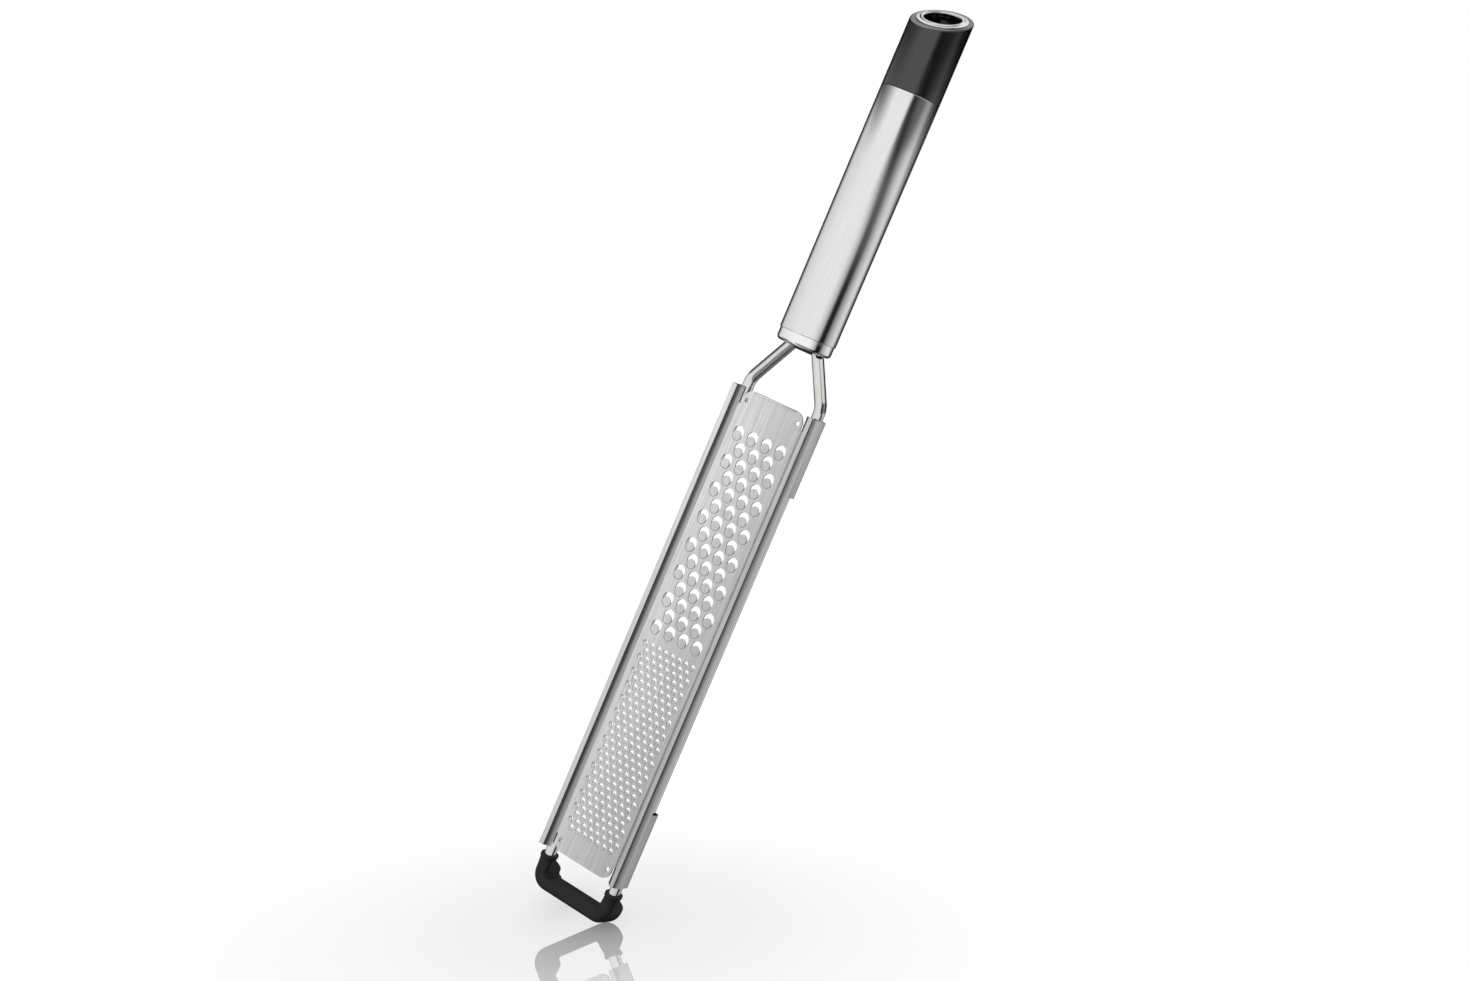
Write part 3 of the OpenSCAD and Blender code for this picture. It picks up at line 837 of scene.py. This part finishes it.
def eyelet_ring():
    surface = Surface()
    sleeve_r = EYELET_R + EYELET_WALL
    outline = rounded([
        (0, FLANGE_R, FLANGE_FOOT_R),
        (FLANGE_EDGE, FLANGE_R, FLANGE_RIM_R),
        (FLANGE_EDGE, RING_LIP_R, RING_LIP_EDGE_R),
        (FLANGE_H, RING_LIP_R - RING_LIP_RUN, RING_LIP_EDGE_R),
        (FLANGE_H, EYELET_R, RING_MOUTH_R),
        (-EYELET_DEPTH, EYELET_R, RING_END_R),
        (-EYELET_DEPTH, sleeve_r, RING_END_R),
        (0, sleeve_r, 0),
    ])
    revolve(surface, outline, on_face, 2 * ROUND)
    return surface.build("ring_mesh", RING_STEEL)


def rim_arc(angle, steps=8):
    """The rounding between the cap's side and its slanted face, at one angle round the handle."""
    corner = turned(FACE_X + TUBE_CAP_R * cos(angle) * tan(FACE_TILT), TUBE_CAP_R, angle)
    inward = (FACE_MID - corner).normalized()
    back = Vector((1, 0, 0))
    reach = RIM_R / math.tan(inward.angle(back) / 2)
    start = corner + back * reach
    end = corner + inward * reach
    weight = math.sin(inward.angle(back) / 2)
    ring = []
    for s in spread(0, 1, steps):
        shares = ((1 - s) ** 2, 2 * weight * s * (1 - s), s ** 2)
        ring.append((start * shares[0] + corner * shares[1] + end * shares[2]) / sum(shares))
    return ring


def cut_from(piece, cutters):
    """Cuts closed meshes out of a piece and removes them."""
    for cutter in cutters:
        cut = piece.modifiers.new("cut", "BOOLEAN")
        cut.operation = "DIFFERENCE"
        cut.solver = "EXACT"
        cut.object = cutter
    bpy.context.view_layer.update()
    cut_piece = piece.evaluated_get(bpy.context.evaluated_depsgraph_get())
    mesh = bpy.data.meshes.new_from_object(cut_piece)
    piece.modifiers.clear()
    piece.data = mesh
    for cutter in cutters:
        bpy.data.objects.remove(cutter)


def end_cap():
    surface = Surface()
    turns = [360 * i / (2 * ROUND) for i in range(2 * ROUND)]
    spigot_r = TUBE_NECK_R - TUBE_WALL - 2 * FIT
    columns = [rim_arc(turn) for turn in turns]
    rows = [[turned(TUBE_CAP_X + CAP_SPIGOT, spigot_r, turn) for turn in turns]]
    rows.append([turned(TUBE_CAP_X, spigot_r, turn) for turn in turns])
    rows.append([turned(TUBE_CAP_X, TUBE_CAP_R - CAP_EDGE, turn) for turn in turns])
    rows.append([turned(TUBE_CAP_X - CAP_EDGE, TUBE_CAP_R, turn) for turn in turns])
    rows.extend([column[i] for column in columns] for i in range(len(columns[0])))
    rows.append([column[-1].lerp(FACE_MID, FACE_GUARD) for column in columns])
    numbers = surface.grid(rows, closed=True)
    surface.lid(numbers[0])
    surface.lid(numbers[-1])
    piece = surface.build("cap_mesh", CAP_PLASTIC)

    seat = Surface()
    seat_r = EYELET_R + EYELET_WALL + FIT
    rings = [[on_face(out, seat_r, turn) for turn in turns] for out in (-EYELET_DEPTH, EYELET_DEPTH)]
    numbers = seat.grid(rings, closed=True)
    seat.lid(numbers[0])
    seat.lid(numbers[1])

    throat = Surface()
    mid = FACE_MID - FACE_OUT * EYELET_DEPTH
    way = Vector((cos(THROAT_TILT), 0, -sin(THROAT_TILT)))
    up = Vector((sin(THROAT_TILT), 0, cos(THROAT_TILT)))
    levels = [(-THROAT_R * cos(a), THROAT_R * sin(a)) for a in spread(THROAT_START, 90, THROAT_STEPS)]
    levels.append((2 * TUBE_CAP_R, THROAT_R))
    rings = []
    for a, r in levels:
        rings.append([mid + way * a + (up * cos(turn) + FACE_SIDE * sin(turn)) * r for turn in turns])
    numbers = throat.grid(rings, closed=True)
    throat.lid(numbers[0])
    throat.lid(numbers[-1])
    cut_from(piece, [seat.build("seat", CAP_PLASTIC), throat.build("throat", CAP_PLASTIC)])
    piece.data.shade_smooth()
    piece.data.set_sharp_from_angle(angle=math.radians(SHARP_CAP))
    return piece


# Foot

# The foot's section has four corners of so many steps, and the round section of the waist has as many points
CORNER_STEPS = 10
ROUND_SECTION = [(cos(a), sin(a)) for a in spread(0, 360, 4 * (CORNER_STEPS + 1))[:-1]]


def foot_ring(x, y, heading, share, depth, slant):
    """One closed section of the foot. share goes from 0, round like the waist, to 1, the full section."""
    side = Vector((-sin(heading), cos(heading), 0))
    ring = []
    for (across, up), (full_across, full_up) in zip(ROUND_SECTION, full_section(depth)):
        out = across * WAIST_R * (1 - share) + full_across * share
        lift = up * WAIST_R * (1 - share) + full_up * share
        ring.append(along(x + slant * lift, y, lift) + side * out)
    return ring


def full_section(depth):
    """The foot's section as (outwards, up) points: sharper edges towards the opening, rounder ones outwards."""
    half_t = FOOT_T / 2
    bottom = FOOT_TOP_Z - depth
    corners = [
        (half_t - FOOT_OUTER_R, FOOT_TOP_Z - FOOT_OUTER_R, FOOT_OUTER_R, 0),
        (FOOT_INNER_R - half_t, FOOT_TOP_Z - FOOT_INNER_R, FOOT_INNER_R, 90),
        (FOOT_INNER_R - half_t, bottom + FOOT_INNER_R, FOOT_INNER_R, 180),
        (half_t - FOOT_OUTER_R, bottom + FOOT_OUTER_R, FOOT_OUTER_R, 270),
    ]
    points = []
    for out, up, radius, start in corners:
        turns = spread(start, start + 90, CORNER_STEPS)
        points += [(out + radius * cos(a), up + radius * sin(a)) for a in turns]
    return points


def collar_ring(x, radius, slant):
    return [along(x + slant * radius * up, LEG_Y + radius * out, radius * up) for out, up in ROUND_SECTION]


def foot_rings():
    """The sections along one half of the foot, from the collar to the middle."""
    bore = ROD_R + FIT
    slant = tan(COLLAR_SLANT)
    end = COLLAR_X + COLLAR_L
    rows = [(COLLAR_X + COLLAR_BORE, bore), (COLLAR_X, bore)]
    rows += [(COLLAR_X + back, COLLAR_R - drop) for back, drop in COLLAR_FRONT]
    rows += [(end - back, COLLAR_R - drop) for back, drop in COLLAR_BACK]
    rings = [collar_ring(x, radius, slant) for x, radius in rows]
    waist_end = end + COLLAR_GAP
    for t in spread(0, 1, WAIST_STEPS):
        share = smooth(t)
        x = waist_end + t * (FOOT_FULL_X - waist_end)
        rings.append(foot_ring(x, LEG_Y, 0, share, FOOT_LEG_DEPTH, slant * (1 - share)))
    for a in spread(0, 90, FOOT_TURN_STEPS):
        rings.append(foot_ring(FOOT_MID_X - FOOT_TURN_R + FOOT_TURN_R * sin(a),
                               LEG_Y - FOOT_TURN_R + FOOT_TURN_R * cos(a), -a, 1, FOOT_LEG_DEPTH, 0))
    for t in spread(0, 1, FOOT_EASE_STEPS)[1:]:
        depth = FOOT_LEG_DEPTH + (FOOT_DEPTH - FOOT_LEG_DEPTH) * smooth(t)
        rings.append(foot_ring(FOOT_MID_X, LEG_Y - FOOT_TURN_R - FOOT_EASE * t, -90, 1, depth, 0))
    return rings


def foot():
    surface = Surface()
    half = foot_rings()
    other = [[Vector((p.x, -p.y, p.z)) for p in ring] for ring in reversed(half)]
    numbers = surface.grid(half + other, closed=True)
    surface.lid(numbers[0])
    surface.lid(numbers[-1])
    return surface.build("foot_mesh", RUBBER, sharp=SHARP_FOLDED)


# Camera, light and floor

# The photograph's camera, from a fit of the teeth, the tube, the wires and the cap. Its three turns are in
# radians. The offset is the place of the anchor in the camera's own axes
PHOTO_WIDTH_PX = 1470
FOCAL_PX = 2198
SENSOR_MM = 36
CAMERA_ROLL, CAMERA_PITCH, CAMERA_YAW = 0.09888, -0.51738, -0.40154
CAMERA_OFFSET = Vector((11.388, 19.810, -873.232))
CAMERA_ANCHOR = Vector((START_X + 16.35, 0, HANDLE_Z))
CLIP_START_M = 0.01
CLIP_END_M = 20

# The light, by angle round X and by the X of the direction, which runs from -1 beyond the hanging end to 1 beyond
# the foot. First comes the light round X, as (angle, level). The angle is 0 in the middle of the light, which
# leans from +Z towards +Y by the tilt, and it grows towards +Y
LIGHT_TILT = 29.4
LIGHT_ROUND = (
    (-180, 0.03), (-147, 0.04), (-136, 0.4), (-125, 0.75), (-93, 0.87), (-50, 0.96), (15, 0.96), (22, 0.88),
    (32, 0.72), (41, 0.5), (47, 0.18), (51, 0.01), (66, 0.01), (73, 0.22), (84, 0.45), (95, 0.62), (105, 0.75),
    (120, 0.8), (130, 0.42), (142, 0.06), (180, 0.03),
)
# Towards the hanging end the dark band on the +Y side moves in, by so many degrees for each unit of X, up to a
# limit, and by a share round X
BAND_SHIFT = 216
BAND_SHIFT_MAX = 40
BAND_SIDE = ((0, 0), (14.4, 1), (108, 1), (144, 0))
# The band is milder where the tube mirrors it: where it lies round X, and its level by X
BAND_ROUND = ((15, 0), (30, 1), (78, 1), (92, 0))
BAND_LIFT = ((-0.11, 0), (-0.084, 0.11), (0.02, 0.11), (0.05, 0))
# Where the cap mirrors it, all but the middle of the light is darker: by X, and by how much round X
CAP_LIGHT = ((-0.134, 1), (-0.11, 0))
CAP_LOSS = ((-120, 0.9), (-90, 0.68), (-70, 0.32), (-50, 0), (8, 0), (25, 0.6), (60, 0.8), (90, 0.45),
            (115, 0.5), (130, 0.95))
# Beyond the foot the light is darker by X, but not at the angles that the blade's face mirrors
FOOT_LOSS = ((0.28, 0), (0.36, 0.66))
FOOT_LOSS_ROUND = ((-85, 1), (-72, 0), (-46, 0), (-36, 1))
# The whole light's fall along X, and a brighter light beyond the hanging end
LIGHT_ALONG = ((-0.94, 0.1), (-0.88, 1), (0, 1), (1, 0.88))
END_LIGHT = ((-0.94, 0), (-0.88, 1), (-0.68, 1), (-0.5, 0))
END_LIGHT_LEVEL = 1.15

# These are painted shadows: the floor's glow is dimmed round the foot
# The floor's soft shades, as (depth, middle, reach). The last two go across the photograph and into it, and the
# middle is counted from the point under the foot
FLOOR_PAINTED_SHADOWS = (
    (0.11, (0, 30), (110, 300)),
    (0.4, (-20, 45), (26, 110)),
    (0.35, (0, 8), (16, 60)),
)
# The floor's half widths, its tilt, how far it lies under the foot, and how strongly it mirrors there
FLOOR_REACH = (170, 340)
FLOOR_TILT = -2
FLOOR_GAP = 0.1
FLOOR_MIRROR = 0.7


def camera():
    """Sets the photograph's camera and returns the turn from the part's axes to the camera's."""
    turn = Matrix.Rotation(CAMERA_YAW, 3, "Z") @ Matrix.Rotation(CAMERA_ROLL, 3, "X")
    turn = turn @ Matrix.Rotation(CAMERA_PITCH, 3, "Y")
    swap = Matrix(((0, 1, 0), (-1, 0, 0), (0, 0, 1)))
    to_view = turn @ swap
    data = bpy.data.cameras.new("camera")
    data.sensor_width = SENSOR_MM
    data.lens = FOCAL_PX / PHOTO_WIDTH_PX * SENSOR_MM
    data.clip_start = CLIP_START_M
    data.clip_end = CLIP_END_M
    eye = bpy.data.objects.new("camera", data)
    bpy.context.scene.collection.objects.link(eye)
    place = to_view.transposed().to_4x4()
    place.translation = (CAMERA_ANCHOR - to_view.transposed() @ CAMERA_OFFSET) * MM
    eye.matrix_world = place
    bpy.context.scene.camera = eye
    return to_view


def world():
    """White behind the part. What shines on it is a broad light that falls off round X and along it."""
    sky = bpy.data.worlds.new("studio")
    bpy.context.scene.world = sky
    tree = Tree(sky)
    tree.nodes.clear()
    way = tree.add("SeparateXYZ", {"Vector": tree.add("TexCoord").outputs["Generated"]}).outputs
    maths = tree.maths
    half_x = maths("ADD", maths("MULTIPLY", way["X"], 0.5), 0.5)

    def round_x(share, stops):
        return tree.ramp(share, [(0.5 + angle / 360, (level,) * 3) for angle, level in stops])

    def along_x(stops):
        return tree.ramp(half_x, [(0.5 + x / 2, (level,) * 3) for x, level in stops])

    degrees = maths("MULTIPLY", maths("ARCTAN2", way["Y"], way["Z"]), 180 / math.pi)
    share = maths("FRACT", maths("ADD", maths("DIVIDE", maths("ADD", degrees, -LIGHT_TILT), 360), 1.5))
    shift = maths("MULTIPLY", maths("MAXIMUM", maths("MULTIPLY", way["X"], -1), 0), BAND_SHIFT)
    shift = maths("MULTIPLY", maths("MINIMUM", shift, BAND_SHIFT_MAX), round_x(share, BAND_SIDE))
    level = round_x(maths("ADD", share, maths("DIVIDE", shift, 360)), LIGHT_ROUND)
    level = maths("MAXIMUM", level, maths("MULTIPLY", round_x(share, BAND_ROUND), along_x(BAND_LIFT)))
    for loss_along, loss_round in ((CAP_LIGHT, CAP_LOSS), (FOOT_LOSS, FOOT_LOSS_ROUND)):
        loss = maths("MULTIPLY", along_x(loss_along), round_x(share, loss_round))
        level = maths("MULTIPLY", level, maths("SUBTRACT", 1, loss))
    level = maths("MULTIPLY", level, along_x(LIGHT_ALONG))
    level = maths("MAXIMUM", level, maths("MULTIPLY", along_x(END_LIGHT), END_LIGHT_LEVEL))
    grey = tree.add("CombineColor", {0: level, 1: level, 2: level}).outputs["Color"]
    light = tree.add("Background", {"Color": grey}).outputs["Background"]
    white = tree.add("Background", {"Color": (1, 1, 1, 1)}).outputs["Background"]
    path = tree.add("LightPath").outputs
    # The floor is the one perfect mirror, so its rays can be told from the others and see white
    plain = maths("MAXIMUM", path["Is Camera Ray"], path["Is Singular Ray"])
    tree.add("OutputWorld", {"Surface": tree.mixed(plain, light, white)})


def near(tree, centre, reach, kind="QUADRATIC_SPHERE"):
    """Goes from 1 at a point of the floor to 0 at its reach, all in millimetres."""
    place = tree.add("TexCoord").outputs["Object"]
    mapping = tree.add("Mapping", {
        "Vector": place,
        "Location": (centre[0] * MM, centre[1] * MM, 0),
        "Scale": (reach[0] * MM, reach[1] * MM, 1),
    }, vector_type="TEXTURE")
    return tree.add("TexGradient", {"Vector": mapping.outputs["Vector"]}, gradient_type=kind).outputs["Fac"]


def floor_material():
    """White with painted soft shadows round the foot, and a mirror image that grows faint outwards.

    It is clear from below, and to the rays that the part reflects.
    """
    material, tree, shader = new_material("floor")
    tree.nodes.remove(shader)
    # Painted soft shadows, dimming the floor's glow round the foot
    shade = 1
    for depth, centre, reach in FLOOR_PAINTED_SHADOWS:
        lit = tree.maths("MULTIPLY_ADD", near(tree, centre, reach), -depth, 1)
        shade = tree.maths("MULTIPLY", shade, lit)
    white = tree.add("Emission", {"Strength": shade}).outputs["Emission"]
    mirror = tree.add("BsdfGlossy", {"Roughness": 0}).outputs["BSDF"]
    mirrored = tree.maths("MULTIPLY", near(tree, (0, 0), FLOOR_REACH, "SPHERICAL"), FLOOR_MIRROR)
    clear = tree.add("BsdfTransparent").outputs["BSDF"]
    below = tree.add("NewGeometry").outputs["Backfacing"]
    from_camera = tree.add("LightPath").outputs["Is Camera Ray"]
    seen = tree.maths("SUBTRACT", from_camera, below, clamp=True)
    surface = tree.mixed(seen, clear, tree.mixed(mirrored, white, mirror))
    tree.put(surface, tree.nodes["Material Output"].inputs["Surface"])
    return material


def floor(to_view, foot_piece):
    """A pale glossy floor that the foot's lowest corner touches, level across the photograph."""
    right, up, back = (Vector(row) for row in to_view)
    level = (up * cos(FLOOR_TILT) + back * sin(FLOOR_TILT)).normalized()
    contact = min((corner.co for corner in foot_piece.data.vertices), key=level.dot)
    across, deep = (reach * MM for reach in FLOOR_REACH)
    rim = [(across * cos(a), deep * sin(a), 0) for a in spread(0, 360, ROUND)[:-1]]
    mesh = bpy.data.meshes.new("floor")
    mesh.from_pydata(rim, [], [tuple(range(len(rim)))])
    mesh.materials.append(floor_material())
    plate = bpy.data.objects.new("floor", mesh)
    bpy.context.scene.collection.objects.link(plate)
    place = Matrix((right, level.cross(right), level)).transposed().to_4x4()
    place.translation = contact - level * FLOOR_GAP * MM
    plate.matrix_world = place


# Each node's piece and its material slot. The floor is laid under the foot
PIECES = (
    ("handle_tube", handle_tube, "tube_steel"),
    ("end_cap", end_cap, "cap_plastic"),
    ("eyelet_ring", eyelet_ring, "polished_steel"),
    ("ferrule", ferrule, "polished_steel"),
    ("frame_wire", frame_wire, "rod_steel"),
    ("blade", blade, "blade_steel"),
    ("foot", foot, "foot_rubber"),
)

to_view = camera()
world()
for node, make, slot in PIECES:
    piece = make()
    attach(piece, "root")
    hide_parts(node)
    if node == "foot":
        floor(to_view, piece)
core = frame["nodes"]["wire_anchor"]
core.data.materials.clear()
core.data.materials.append(CORE_PLASTIC)
bpy.context.scene.view_settings.view_transform = "Standard"
